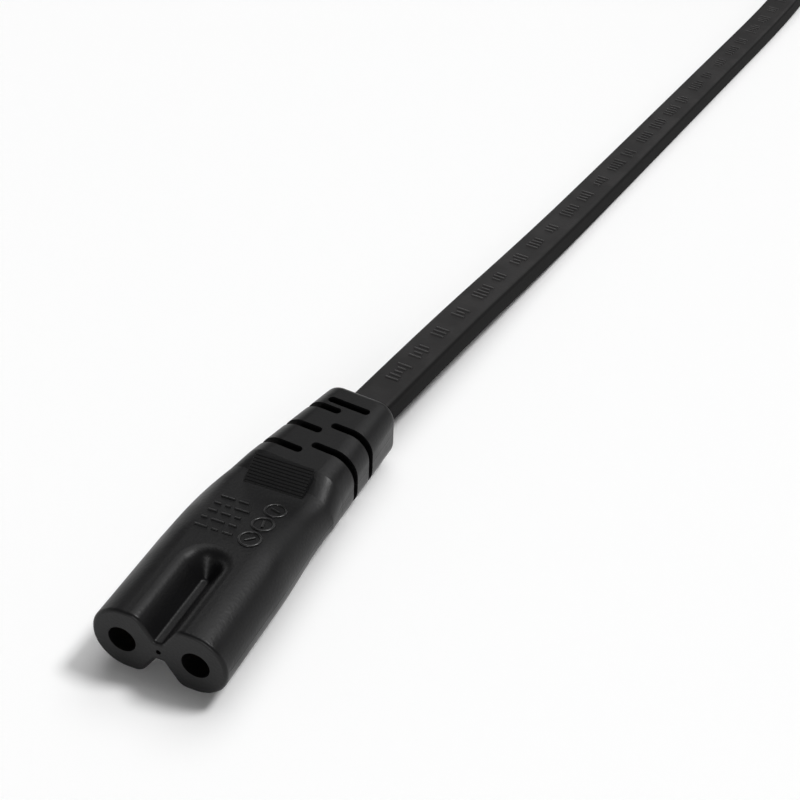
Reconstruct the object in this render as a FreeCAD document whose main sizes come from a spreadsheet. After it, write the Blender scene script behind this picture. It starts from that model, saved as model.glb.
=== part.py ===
import FreeCAD, Part
import math
import os
import re
import Sketcher

# A mains lead with a figure eight connector. The nose points along -Y, +Z is up and the lead lies on z = 0.
# Sizes are measured from the middle of the mating face, at mid height: this is the connector's own frame.
# The strain relief is flexed sideways behind the grip, so what lies on it is placed in a frame turned about
# the grip station, with distances along the turned axis counted from there.

SIZES = {
    # Nose that enters the appliance inlet
    "lobe_reach": 3.6,
    "nose_height": 8.1,
    "nose_length": 13.0,
    "blend_length": 2.0,
    "blend_thinning": 0.1,
    "side_flat": 0.1,
    "web_thickness": 2.5,
    "valley_floor": 0.9,
    "valley_round": 0.35,
    "flank_degrees": 56.0,
    "shoulder_round": 1.6,
    "notch_run": 9.7,
    "face_round": 0.4,
    "gate_radius": 0.3,
    "gate_depth": 0.3,
    # Grip, thinnest at a waist under the thumb pads, and strain relief
    "grip_station": 22.0,
    "grip_narrowing": 0.6,
    "grip_thinning": 1.9,
    "flex_degrees": 6.6,
    "waist_station": 4.2,
    "waist_narrowing": 1.2,
    "waist_thinning": 2.2,
    "relief_start": 7.0,
    "relief_narrowing": 2.5,
    "relief_thinning": 0.2,
    "relief_flat": 0.75,
    "relief_length": 22.6,
    "end_width": 9.5,
    "end_thinning": 0.2,
    "end_corner": 2.4,
    "end_round": 0.9,
    # Ribbed thumb pad, the same above and below
    "pad_start": 24.32,
    "pad_length": 3.42,
    "pad_width": 7.4,
    "pad_sink": 0.05,
    "pad_rise": 2.0,
    "rib_count": 10,
    "rib_depth": 0.2,
    # Slots that let the relief bend, round a core that carries the cord
    "slot_width": 1.1,
    "slot_pitch": 4.27,
    "slot_depth": 1.17,
    "slot_round": 0.5,
    "left_slot": 9.24,
    "left_slots": 3,
    "right_slot": 10.9,
    "right_slots": 2,
    "rear_slot": 19.4,
    "rear_slot_span": 5.7,
    "spine_width": 0.4,
    "side_wall": 1.0,
    # Contacts and the carrier that spaces them
    "pin_pitch": 8.6,
    "mouth_radius": 1.63,
    "front_wall": 3.0,
    "contact_bore": 1.2,
    "contact_wall": 0.35,
    "contact_length": 9.0,
    "contact_neck": 1.2,
    "contact_slit": 0.5,
    "slit_length": 7.5,
    "crimp_radius": 1.0,
    "crimp_length": 3.6,
    "carrier_radius": 2.6,
    "carrier_web": 1.2,
    # Flat twin cord
    "cord_width": 5.3,
    "cord_thickness": 3.35,
    "cord_round": 0.6,
    "jacket_start": 5.0,
    "core_radius": 1.0,
    "core_pitch": 2.6,
    "core_lead": 2.4,
    "wire_radius": 0.55,
    "wire_bare": 1.0,
    # Coiled length, wound on edge in two layers and held by a band
    "coil_start": 221.0,
    "coil_run": 93.0,
    "coil_inner": 14.2,
    "coil_strands": 3,
    "coil_layers": 2,
    "coil_slack": 0.2,
    "lead_in_inset": 9.0,
    "lead_in_across": 22.0,
    "stub_across": 20.5,
    "stub_length": 8.0,
    "band_thickness": 0.5,
    "band_width": 10.0,
    "band_inset": 43.0,
    # Two-pin plug on the far end, lying on the coil with its pins along +Y
    "tail_turn": 17.55,
    "tail_reach": 35.55,
    "plug_inset": 128.5,
    "plug_width": 35.3,
    "plug_height": 13.7,
    "plug_chamfer": 3.9,
    "plug_front": 12.0,
    "plug_shoulder": 34.0,
    "shoulder_width": 16.5,
    "shoulder_height": 11.0,
    "shoulder_chamfer": 2.6,
    "plug_length": 55.0,
    "plug_end_width": 9.2,
    "plug_end_height": 7.6,
    "plug_end_chamfer": 1.8,
    "plug_face_round": 0.8,
    "ring_slot_width": 1.2,
    "ring_slot_pitch": 4.2,
    "ring_slot_count": 4,
    "ring_slot_start": 38.0,
    "plug_pitch": 18.6,
    "pin_radius": 2.0,
    "pin_length": 19.0,
    "pin_tip_round": 1.2,
    "shank_radius": 1.6,
    "shank_length": 13.0,
    "solder_cup_radius": 1.3,
    "solder_cup_length": 3.5,
    "sleeve_length": 10.0,
    "sleeve_chamfer": 0.2,
    "bridge_wall": 1.2,
    "bridge_length": 8.5,
    "bridge_width": 26.0,
    "bridge_height": 8.6,
    "bridge_round": 2.0,
    "plug_core_lead": 4.5,
    "plug_jacket": 41.5,
}

# Lengths that follow from the sizes
DERIVED = {
    "nose_width": "pin_pitch + 2 * lobe_reach",
    "nose_corner": "nose_height / 2 - side_flat",
    "valley_half": "valley_floor / 2",
    "valley_up": "web_thickness / 2",
    "floor_half": "valley_half - valley_round * tan(flank_degrees / 2)",
    "flank_foot_across": "floor_half + valley_round * sin(flank_degrees)",
    "flank_foot_up": "valley_up + valley_round * (1 - cos(flank_degrees))",
    "rim_half": "valley_half + (nose_height / 2 - valley_up) / tan(flank_degrees)",
    "over_half": "valley_half + (nose_height - valley_up) / tan(flank_degrees)",
    "grip_width": "nose_width - grip_narrowing",
    "grip_height": "nose_height - grip_thinning",
    "waist_width": "nose_width - waist_narrowing",
    "waist_height": "nose_height - waist_thinning",
    "relief_width": "nose_width - relief_narrowing",
    "relief_height": "nose_height - relief_thinning",
    "end_height": "nose_height - end_thinning",
    "pad_front": "waist_height / 2 - pad_sink",
    "pad_reach": "pad_front + pad_rise",
    "pad_across": "(pad_start + pad_length / 2 - grip_station) * tan(flex_degrees)",
    "core_side": "end_width / 2 - side_wall",
    "core_top": "relief_height / 2 - slot_depth",
    "contact_outer": "contact_bore + contact_wall",
    "contact_end": "front_wall + contact_length",
    "crimp_start": "contact_end + contact_neck",
    "crimp_end": "crimp_start + crimp_length",
    "wire_end": "crimp_end + wire_bare",
    "body_reach": "grip_station + (relief_length - end_round) * cos(flex_degrees)"
                  " + (end_width / 2 - end_round) * sin(flex_degrees) + end_round",
    "coil_outer": "coil_inner + coil_strands * cord_thickness + coil_slack",
    "coil_height": "coil_layers * cord_width",
    "coil_near": "coil_start + coil_outer",
    "lead_in_start": "coil_start + lead_in_inset",
    "band_start": "coil_start + band_inset",
    "plug_face": "coil_start + plug_inset",
    "coil_top": "band_thickness + coil_height",
    "coil_far": "coil_near + coil_run",
    "plug_axis": "coil_top + plug_height / 2",
    "cup_end": "shank_length + solder_cup_length",
}

doc = FreeCAD.newDocument("figure_eight_lead")
sheet = doc.addObject("Spreadsheet::Sheet", "dims")
for row, (size_name, size) in enumerate(SIZES.items(), start=1):
    sheet.set("A%d" % row, size_name)
    sheet.set("B%d" % row, str(size))
    sheet.setAlias("B%d" % row, size_name)
doc.recompute()


def formula(text):
    """Write out the derived lengths in a formula and point each size at its cell."""
    def expand(found):
        word = found.group()
        if word in DERIVED:
            return "(" + formula(DERIVED[word]) + ")"
        if word in SIZES:
            return "dims." + word
        return word
    return re.sub(r"[a-z_]+", expand, text)


def value(text):
    return float(sheet.evalExpression(formula(text)))


def bind(target, name, text):
    target.setExpression(name, formula(text))


def origin_plane(body, role):
    return next(plane for plane in body.Origin.OriginFeatures if plane.Role == role)


def new_body(label, across="0", height="pad_reach"):
    """A body in the connector's frame, with its axis at a height over the surface that the lead lies on."""
    body = doc.addObject("PartDesign::Body", label)
    bind(body, "Placement.Base.x", across)
    bind(body, "Placement.Base.y", "-body_reach / 2")
    bind(body, "Placement.Base.z", height)
    return body


def plug_body(label, across="0"):
    """A body in the plug's frame: its face at y = 0, its pins along -y, turned round to lie on the coil."""
    body = doc.addObject("PartDesign::Body", label)
    body.Placement = FreeCAD.Placement(FreeCAD.Vector(), FreeCAD.Rotation(FreeCAD.Vector(0, 0, 1), 180))
    bind(body, "Placement.Base.x", "-(%s)" % across)
    bind(body, "Placement.Base.y", "plug_face - body_reach / 2")
    bind(body, "Placement.Base.z", "plug_axis")
    return body


def new_sketch(body, name, role, shift=("0", "0", "0"), turn=None):
    sketch = body.newObject("Sketcher::SketchObject", name)
    sketch.AttachmentSupport = [(origin_plane(body, role), "")]
    sketch.MapMode = "FlatFace"
    if turn:
        upright = FreeCAD.Rotation(FreeCAD.Vector(0, 1, 0), -1)
        sketch.AttachmentOffset = FreeCAD.Placement(FreeCAD.Vector(), upright)
        bind(sketch, "AttachmentOffset.Rotation.Angle", "-(%s)" % turn)
    for axis, text in zip("xyz", shift):
        bind(sketch, "AttachmentOffset.Base." + axis, text)
    return sketch


def cross_sketch(body, name, station):
    """A sketch across the length, at a station along +Y."""
    return new_sketch(body, name, "XZ_Plane", ("0", "0", "-(%s)" % station))


def relief_sketch(body, name, station):
    """A sketch across the flexed relief, at a station along its own axis."""
    across = "(%s) * sin(flex_degrees)" % station
    along = "-(grip_station + (%s) * cos(flex_degrees))" % station
    return new_sketch(body, name, "XZ_Plane", (across, "0", along), "flex_degrees")


# How a sketch counts the points of a line or an arc
START, END, CENTRE = range(1, 4)


def hold(sketch, kind, geometry, point, text):
    """Fix one coordinate of a point, measured from the sketch's origin."""
    row = sketch.addConstraint(Sketcher.Constraint(kind, -1, 1, geometry, point, value(text)))
    sketch.setExpression("Constraints[%d]" % row, formula(text))


def outline(sketch, corners):
    """Close a loop through (x, y) corners. A corner with (centre x, centre y, turn) added starts an arc."""
    points = [FreeCAD.Vector(value(corner[0]), value(corner[1]), 0) for corner in corners]
    ends = []
    for place, corner in enumerate(corners):
        first = points[place]
        last = points[(place + 1) % len(points)]
        if len(corner) == 2:
            ends.append((sketch.addGeometry(Part.LineSegment(first, last), False), START, END))
            continue
        centre = FreeCAD.Vector(value(corner[2]), value(corner[3]), 0)
        counter_clockwise = corner[4] > 0
        low, high = (first, last) if counter_clockwise else (last, first)
        angles = [math.atan2(point.y - centre.y, point.x - centre.x) for point in (low, high)]
        circle = Part.Circle(centre, FreeCAD.Vector(0, 0, 1), (first - centre).Length)
        number = sketch.addGeometry(Part.ArcOfCircle(circle, angles[0], angles[1]), False)
        ends.append((number, START, END) if counter_clockwise else (number, END, START))
        chord = last - first
        if abs(chord.y) > abs(chord.x):
            hold(sketch, "DistanceX", number, CENTRE, corner[2])
        else:
            hold(sketch, "DistanceY", number, CENTRE, corner[3])
    for place, corner in enumerate(corners):
        number, begin, _ = ends[place]
        before, _, finish = ends[place - 1]
        sketch.addConstraint(Sketcher.Constraint("Coincident", before, finish, number, begin))
        hold(sketch, "DistanceX", number, begin, corner[0])
        hold(sketch, "DistanceY", number, begin, corner[1])


def circle(sketch, across, up, radius):
    middle = FreeCAD.Vector(value(across), value(up), 0)
    number = sketch.addGeometry(Part.Circle(middle, FreeCAD.Vector(0, 0, 1), value(radius)), False)
    hold(sketch, "DistanceX", number, CENTRE, across)
    hold(sketch, "DistanceY", number, CENTRE, up)
    row = sketch.addConstraint(Sketcher.Constraint("Radius", number, value(radius)))
    sketch.setExpression("Constraints[%d]" % row, formula(radius))


def rounded_rectangle(sketch, width, height, corner):
    wide = "(%s) / 2" % width
    tall = "(%s) / 2" % height
    wide_in = "(%s - %s)" % (wide, corner)
    tall_in = "(%s - %s)" % (tall, corner)
    outline(sketch, [
        (wide, "-" + tall_in),
        (wide, tall_in, wide_in, tall_in, 1),
        (wide_in, tall),
        ("-" + wide_in, tall, "-" + wide_in, tall_in, 1),
        ("-(%s)" % wide, tall_in),
        ("-(%s)" % wide, "-" + tall_in, "-" + wide_in, "-" + tall_in, 1),
        ("-" + wide_in, "-(%s)" % tall),
        (wide_in, "-(%s)" % tall, wide_in, "-" + tall_in, 1),
    ])


def valley(sketch):
    """The section of both valleys between the lobes, each open to its own side of the nose."""
    over = "nose_height"
    for side, turn in (("", 1), ("-", -1)):
        floor = side + "valley_up"
        round_up = side + "(valley_up + valley_round)"
        foot = side + "flank_foot_up"
        outline(sketch, [
            ("-floor_half", floor),
            ("floor_half", floor, "floor_half", round_up, turn),
            ("flank_foot_across", foot),
            ("over_half", side + over),
            ("-over_half", side + over),
            ("-flank_foot_across", foot, "-floor_half", round_up, turn),
        ])


def pad(body, name, sketch, length, symmetric=False, reverse=True):
    """Thicken a sketch: along +Y for one that lies across the length."""
    feature = body.newObject("PartDesign::Pad", name)
    feature.Profile = sketch
    bind(feature, "Length", length)
    if symmetric:
        feature.SideType = "Symmetric"
    else:
        feature.Reversed = reverse
    doc.recompute()
    return feature


def pocket(body, name, sketch, length, symmetric=False):
    """Cut a sketch away: along +Y for one that lies across the length."""
    before = body.Shape.Volume if body.Tip else 0
    feature = body.newObject("PartDesign::Pocket", name)
    feature.Profile = sketch
    bind(feature, "Length", length)
    if symmetric:
        feature.SideType = "Symmetric"
    doc.recompute()
    assert body.Shape.Volume < before, name + " cuts nothing"
    return feature


def repeat(body, name, feature, sketch, count, pitch):
    """Repeat a cut along the normal of its sketch, towards the cord."""
    pattern = body.newObject("PartDesign::LinearPattern", name)
    pattern.Originals = [feature]
    pattern.Direction = (sketch, ["N_Axis"])
    pattern.Reversed = True
    bind(pattern, "Occurrences", count)
    bind(pattern, "Length", "(%s - 1) * %s" % (count, pitch))
    body.Tip = pattern
    doc.recompute()
    return pattern


def mirror(body, name, feature, role):
    copy = body.newObject("PartDesign::Mirrored", name)
    copy.Originals = [feature]
    copy.MirrorPlane = (origin_plane(body, role), [""])
    body.Tip = copy
    doc.recompute()
    return copy


def loft(body, name, sketches):
    feature = body.newObject("PartDesign::AdditiveLoft", name)
    feature.Profile = sketches[0]
    feature.Sections = sketches[1:]
    doc.recompute()
    return feature


def round_edges(body, name, radius, chosen):
    """Round the edges of the body that a test picks by their middle point."""
    doc.recompute()
    base = body.Tip
    names = []
    for number, edge in enumerate(base.Shape.Edges, start=1):
        middle = edge.valueAt((edge.FirstParameter + edge.LastParameter) / 2)
        if chosen(middle):
            names.append("Edge%d" % number)
    feature = body.newObject("PartDesign::Fillet", name)
    feature.Base = (base, names)
    bind(feature, "Radius", radius)
    doc.recompute()
    return feature


def relief_point(across, along, up=0.0):
    """A point given in the flexed frame, in the connector's frame."""
    turn = math.radians(value("flex_degrees"))
    forward = value("grip_station") + along * math.cos(turn) - across * math.sin(turn)
    return FreeCAD.Vector(across * math.cos(turn) + along * math.sin(turn), forward, up)


def relief_station(point):
    """How far along the flexed axis a point lies."""
    turn = math.radians(value("flex_degrees"))
    return point.x * math.sin(turn) + (point.y - value("grip_station")) * math.cos(turn)


def thumb_pad(body):
    """Ribbed ramps above and below, standing out of the grip at their rear end."""
    VALLEY_SHARE = 0.45
    sketch = new_sketch(body, "pad_side", "YZ_Plane", ("0", "0", "pad_across"))
    ribs = int(value("rib_count"))
    slope = "(pad_reach - pad_front) / pad_length"
    for side in ("", "-"):
        corners = [("pad_start", side + "web_thickness / 2")]
        for rib in range(ribs):
            crest = "pad_start + pad_length * %d / (%d)" % (rib + 1, ribs)
            valley = "pad_start + pad_length * (%d + %s) / (%d)" % (rib, VALLEY_SHARE, ribs)
            crest_up = "pad_front + (%s - pad_start) * %s" % (crest, slope)
            valley_up = "pad_front + (%s - pad_start) * %s - rib_depth" % (valley, slope)
            corners.append((valley, side + "(%s)" % valley_up))
            corners.append((crest, side + "(%s)" % crest_up))
        corners.insert(1, ("pad_start", side + "pad_front"))
        corners.append(("pad_start + pad_length", side + "web_thickness / 2"))
        outline(sketch, corners)
    pad(body, "thumb_pads", sketch, "pad_width", symmetric=True)


def notches(body):
    """The valleys between the lobes, above and below, each with a half cone for its rear end."""
    section = cross_sketch(body, "valley_section", "0")
    valley(section)
    pocket(body, "valleys", section, "notch_run")
    profile = cross_sketch(body, "valley_end_profile", "notch_run")
    outline(profile, [
        ("0", "valley_up"),
        ("floor_half", "valley_up", "floor_half", "valley_up + valley_round", 1),
        ("flank_foot_across", "flank_foot_up"),
        ("over_half", "nose_height"),
        ("0", "nose_height"),
    ])
    end = body.newObject("PartDesign::Groove", "valley_end")
    end.Profile = profile
    end.ReferenceAxis = (profile, ["V_Axis"])
    end.Angle = 180
    doc.recompute()
    mirror(body, "valley_ends", end, "XY_Plane")
    nearly = 0.01
    rim_up = value("nose_height / 2")
    rim_across = value("rim_half") + nearly
    rim_along = value("notch_run + rim_half") + nearly

    def on_rim(point):
        level = abs(abs(point.z) - rim_up) < nearly
        return level and abs(point.x) < rim_across and point.y < rim_along

    round_edges(body, "lobe_shoulders", "shoulder_round", on_rim)


def at_slot_end(point):
    """Whether a point lies in an upright corner at the inner end of a slot."""
    nearly = 0.01
    turn = math.radians(value("flex_degrees"))
    along = relief_station(point)
    across = point.x * math.cos(turn) - (point.y - value("grip_station")) * math.sin(turn)
    half_span = value("rear_slot_span / 2")
    ends = [(value("rear_slot"), half_span), (value("rear_slot"), -half_span)]
    for name, side in (("left_slot", -1), ("right_slot", 1)):
        for number in range(int(value(name + "s"))):
            station = value(name) + number * value("slot_pitch")
            ends.append((station, side * value("spine_width / 2")))
    for station, inner in ends:
        on_wall = abs(abs(along - station) - value("slot_width / 2")) < nearly
        if on_wall and abs(across - inner) < nearly:
            return abs(point.z) > value("core_top") + nearly
    return False


def relief_slots(body):
    """Slots from alternate sides that leave a core round the cord, and one across the top and bottom."""
    reach = "nose_width"
    core_top = "core_top"
    for name, side in (("left", "-"), ("right", "")):
        sketch = relief_sketch(body, name + "_slot_section", name + "_slot")
        inner = side + "spine_width / 2"
        outer = side + reach
        core = side + "core_side"
        outline(sketch, [
            (inner, core_top),
            (inner, reach),
            (outer, reach),
            (outer, "-" + reach),
            (inner, "-" + reach),
            (inner, "-" + core_top),
            (core, "-" + core_top),
            (core, core_top),
        ])
        first = pocket(body, name + "_slot", sketch, "slot_width", symmetric=True)
        repeat(body, name + "_slots", first, sketch, name + "_slots", "slot_pitch")
    sketch = relief_sketch(body, "rear_slot_section", "rear_slot")
    for side in ("", "-"):
        outline(sketch, [
            ("-rear_slot_span / 2", side + core_top),
            ("rear_slot_span / 2", side + core_top),
            ("rear_slot_span / 2", side + reach),
            ("-rear_slot_span / 2", side + reach),
        ])
    pocket(body, "rear_slot", sketch, "slot_width", symmetric=True)
    round_edges(body, "slot_ends", "slot_round", at_slot_end)


def contact_seats(body):
    """A stepped round seat behind each mouth, of the contact's own outline."""
    sketch = new_sketch(body, "seat_profile", "XY_Plane", ("pin_pitch / 2", "0", "0"))
    outline(sketch, [
        ("0", "0"),
        ("mouth_radius", "0"),
        ("mouth_radius", "front_wall"),
        ("contact_outer", "front_wall"),
        ("contact_outer", "contact_end"),
        ("crimp_radius", "crimp_start"),
        ("crimp_radius", "crimp_end"),
        ("0", "crimp_end"),
    ])
    seat = body.newObject("PartDesign::Groove", "contact_seat")
    seat.Profile = sketch
    seat.ReferenceAxis = (sketch, ["V_Axis"])
    seat.Angle = 360
    doc.recompute()
    mirror(body, "contact_seats", seat, "YZ_Plane")


def moulding():
    """The connector's soft body, before its inserts are let in."""
    body = new_body("connector_moulding")
    face = cross_sketch(body, "nose_face", "0")
    rounded_rectangle(face, "nose_width", "nose_height", "nose_corner")
    pad(body, "nose", face, "nose_length")
    notches(body)
    nose_end = cross_sketch(body, "nose_end", "nose_length")
    rounded_rectangle(nose_end, "nose_width", "nose_height", "nose_corner")
    grip = cross_sketch(body, "grip_section", "grip_station")
    rounded_rectangle(grip, "grip_width", "grip_height", "(grip_height / 2 - side_flat)")
    waist = relief_sketch(body, "waist_section", "waist_station")
    rounded_rectangle(waist, "waist_width", "waist_height", "(waist_height / 2 - side_flat)")
    blend = cross_sketch(body, "nose_blend", "nose_length + blend_length")
    rounded_rectangle(blend, "nose_width - blend_thinning", "nose_height - blend_thinning",
                      "(nose_corner - blend_thinning / 2)")
    loft(body, "grip", [nose_end, blend, grip, waist])
    waist_end = relief_sketch(body, "waist_end", "waist_station")
    rounded_rectangle(waist_end, "waist_width", "waist_height", "(waist_height / 2 - side_flat)")
    relief = relief_sketch(body, "relief_section", "relief_start")
    rounded_rectangle(relief, "relief_width", "relief_height", "(relief_height / 2 - relief_flat)")
    loft(body, "relief_front", [waist_end, relief])
    relief_rear = relief_sketch(body, "relief_rear", "relief_start")
    rounded_rectangle(relief_rear, "relief_width", "relief_height", "(relief_height / 2 - relief_flat)")
    end = relief_sketch(body, "end_section", "relief_length")
    rounded_rectangle(end, "end_width", "end_height", "end_corner")
    loft(body, "relief", [relief_rear, end])
    nearly = 0.01
    round_edges(body, "rear_rounding", "end_round",
                lambda point: abs(relief_station(point) - value("relief_length")) < nearly)
    round_edges(body, "face_rounding", "face_round", lambda point: abs(point.y) < nearly)
    thumb_pad(body)
    doc.recompute()
    relief_slots(body)
    contact_seats(body)
    gate = cross_sketch(body, "gate_mark", "0")
    circle(gate, "0", "0", "gate_radius")
    pocket(body, "gate_dimple", gate, "gate_depth")
    return body


def revolve(body, name, sketch):
    """Turn a profile about the body's own Y axis."""
    feature = body.newObject("PartDesign::Revolution", name)
    feature.Profile = sketch
    feature.ReferenceAxis = (sketch, ["V_Axis"])
    feature.Angle = 360
    doc.recompute()
    return feature


def contact(label, side):
    """A rolled brass socket that narrows to a crimp barrel, with a slit that lets it spring."""
    body = new_body(label, side + "pin_pitch / 2")
    profile = new_sketch(body, label + "_profile", "XY_Plane")
    outline(profile, [
        ("contact_bore", "front_wall"),
        ("contact_outer", "front_wall"),
        ("contact_outer", "contact_end"),
        ("crimp_radius", "crimp_start"),
        ("crimp_radius", "crimp_end"),
        ("wire_radius", "crimp_end"),
        ("wire_radius", "crimp_start"),
        ("contact_bore", "contact_end"),
    ])
    revolve(body, label + "_shell", profile)
    slit = new_sketch(body, label + "_slit_plan", "XY_Plane")
    outline(slit, [
        ("-contact_slit / 2", "front_wall"),
        ("contact_slit / 2", "front_wall"),
        ("contact_slit / 2", "front_wall + slit_length"),
        ("-contact_slit / 2", "front_wall + slit_length"),
    ])
    pocket(body, label + "_slit", slit, "2 * contact_outer")
    return body


def contact_carrier():
    """Two tubes joined by a thin web, which hold the contacts at their pitch while the body is moulded."""
    body = new_body("contact_carrier")
    section = cross_sketch(body, "carrier_section", "front_wall")
    middle = "pin_pitch / 2"
    foot = "(pin_pitch / 2 - sqrt(carrier_radius ^ 2 - (carrier_web / 2) ^ 2))"
    outline(section, [
        (foot, "-carrier_web / 2", middle, "0", 1),
        (foot, "carrier_web / 2"),
        ("-" + foot, "carrier_web / 2", "-" + middle, "0", 1),
        ("-" + foot, "-carrier_web / 2"),
    ])
    for side in ("", "-"):
        circle(section, side + middle, "0", "contact_outer")
    pad(body, "carrier_tubes", section, "contact_length")
    return body


def wire(label, across, start, length, height, towards):
    """Bared copper strands held in a crimp or cup, along +Y or -Y."""
    strands = doc.addObject("Part::Cylinder", label)
    bind(strands, "Radius", "wire_radius")
    bind(strands, "Height", length)
    upright_to_along = -90 * towards
    strands.Placement = FreeCAD.Placement(FreeCAD.Vector(),
                                          FreeCAD.Rotation(FreeCAD.Vector(1, 0, 0), upright_to_along))
    bind(strands, "Placement.Base.x", across)
    bind(strands, "Placement.Base.y", "%s - body_reach / 2" % start)
    bind(strands, "Placement.Base.z", height)
    return strands


def rounded_route(points, label):
    """Straight runs joined by tangent arcs, each as large as its shorter run allows."""
    ARC_SHARE = 0.45
    edges = []
    radii = []
    here = points[0]
    for before, corner, after in zip(points, points[1:], points[2:]):
        back = before - corner
        ahead = after - corner
        half_turn = (math.pi - back.getAngle(ahead)) / 2
        trim = ARC_SHARE * min(back.Length, ahead.Length)
        radius = trim / math.tan(half_turn)
        back.normalize()
        ahead.normalize()
        inward = (back + ahead).normalize()
        middle = corner + inward * (radius / math.cos(half_turn) - radius)
        edges.append(Part.LineSegment(here, corner + back * trim).toShape())
        edges.append(Part.Arc(corner + back * trim, middle, corner + ahead * trim).toShape())
        here = corner + ahead * trim
        radii.append(radius)
    edges.append(Part.LineSegment(here, points[-1]).toShape())
    print(label, "radii", [round(radius, 1) for radius in radii])
    return Part.Wire(edges)


def core(label, points):
    """An insulated core along a bent path."""
    path = doc.addObject("Part::Feature", label + "_path")
    path.Shape = rounded_route(points, label)
    section = doc.addObject("Part::Circle", label + "_section")
    bind(section, "Radius", "core_radius")
    along = points[1] - points[0]
    section.Placement = FreeCAD.Placement(points[0], FreeCAD.Rotation(FreeCAD.Vector(0, 0, 1), along))
    sweep = doc.addObject("Part::Sweep", label)
    sweep.Sections = [section]
    sweep.Spine = (path, ["Edge%d" % (number + 1) for number in range(len(path.Shape.Edges))])
    sweep.Solid = True
    doc.recompute()
    return sweep


def flat_section(start, along):
    """The cord's rounded flat section across the start of its route, with its width level."""
    half_wide = value("cord_width") / 2
    half_thick = value("cord_thickness") / 2
    blank = Part.makeBox(2 * half_wide, 2 * half_thick, 1, FreeCAD.Vector(-half_wide, -half_thick, 0))
    upright = [edge for edge in blank.Edges if abs(edge.tangentAt(edge.FirstParameter).z) > 0.5]
    rounded = blank.makeFillet(value("cord_round"), upright)
    face = next(face for face in rounded.Faces if abs(face.CenterOfMass.z) < 1e-6)
    across = along.cross(FreeCAD.Vector(0, 0, 1))
    turned = FreeCAD.Rotation(across, across.cross(along), along, "ZXY")
    face.Placement = FreeCAD.Placement(start, turned)
    return face


def cord(label, points):
    """A flat cord along a route, laid with its width level."""
    route = rounded_route(points, label)
    section = flat_section(points[0], (points[1] - points[0]).normalize())
    run = doc.addObject("Part::Feature", label)
    run.Shape = route.makePipe(section)
    share = run.Shape.Volume / (section.Area * route.Length)
    print(label, "length", round(route.Length, 1), "volume share", round(share, 4))
    return run


def racetrack(sketch, radius):
    outline(sketch, [
        (radius, "coil_near"),
        (radius, "coil_far", "0", "coil_far", 1),
        ("-" + radius, "coil_far"),
        ("-" + radius, "coil_near", "0", "coil_near", 1),
    ])


def rectangle(sketch, left, right, bottom, top):
    outline(sketch, [(left, bottom), (right, bottom), (right, top), (left, top)])


def cord_coil():
    """The outer shape of the coiled length: a long loop with the strands that lead in and out."""
    body = new_body("cord_coil", height="0")
    loop = new_sketch(body, "coil_plan", "XY_Plane", ("0", "0", "band_thickness"))
    racetrack(loop, "coil_outer")
    racetrack(loop, "coil_inner")
    pad(body, "coil_loop", loop, "coil_height", reverse=False)
    lead_in = new_sketch(body, "lead_in_plan", "XY_Plane")
    rectangle(lead_in, "lead_in_across - cord_width / 2", "lead_in_across + cord_width / 2",
              "lead_in_start", "coil_near")
    pad(body, "lead_in", lead_in, "cord_thickness", reverse=False)
    stub = new_sketch(body, "stub_plan", "XY_Plane", ("0", "0", "coil_top"))
    rectangle(stub, "stub_across - cord_width / 2", "stub_across + cord_width / 2",
              "coil_near - stub_length", "coil_near")
    pad(body, "lead_out", stub, "cord_thickness", reverse=False)
    return body


def cord_band():
    """A flat band round both sides of the coil."""
    body = new_body("cord_band", height="0")
    section = cross_sketch(body, "band_section", "band_start")
    outer = "coil_outer + band_thickness"
    rectangle(section, "-(%s)" % outer, outer, "0", "coil_top + band_thickness")
    rectangle(section, "-coil_outer", "coil_outer", "band_thickness", "coil_top")
    pad(body, "band_loop", section, "band_width")
    return body


def octagon(sketch, width, height, chamfer):
    wide = "%s / 2" % width
    tall = "%s / 2" % height
    wide_in = "(%s / 2 - %s)" % (width, chamfer)
    tall_in = "(%s / 2 - %s)" % (height, chamfer)
    outline(sketch, [
        (wide, "-" + tall_in),
        (wide, tall_in),
        (wide_in, tall),
        ("-" + wide_in, tall),
        ("-" + wide, tall_in),
        ("-" + wide, "-" + tall_in),
        ("-" + wide_in, "-" + tall),
        (wide_in, "-" + tall),
    ])


def plug_moulding():
    """The plug's soft body: a flat block that narrows to a ringed strain relief."""
    body = plug_body("plug_moulding")
    face = cross_sketch(body, "plug_face_section", "0")
    octagon(face, "plug_width", "plug_height", "plug_chamfer")
    pad(body, "plug_block", face, "plug_front")
    block_end = cross_sketch(body, "plug_block_end", "plug_front")
    octagon(block_end, "plug_width", "plug_height", "plug_chamfer")
    shoulder = cross_sketch(body, "plug_shoulder_section", "plug_shoulder")
    octagon(shoulder, "shoulder_width", "shoulder_height", "shoulder_chamfer")
    end = cross_sketch(body, "plug_end_section", "plug_length")
    octagon(end, "plug_end_width", "plug_end_height", "plug_end_chamfer")
    loft(body, "plug_taper", [block_end, shoulder, end])
    nearly = 0.01
    round_edges(body, "plug_face_rounding", "plug_face_round", lambda point: abs(point.y) < nearly)
    ring = cross_sketch(body, "ring_slot_section", "ring_slot_start")
    rectangle(ring, "-plug_width", "plug_width", "-plug_width", "plug_width")
    rectangle(ring, "-core_side", "core_side", "-core_top", "core_top")
    first = pocket(body, "ring_slot", ring, "ring_slot_width", symmetric=True)
    repeat(body, "ring_slots", first, ring, "ring_slot_count", "ring_slot_pitch")
    return body


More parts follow.
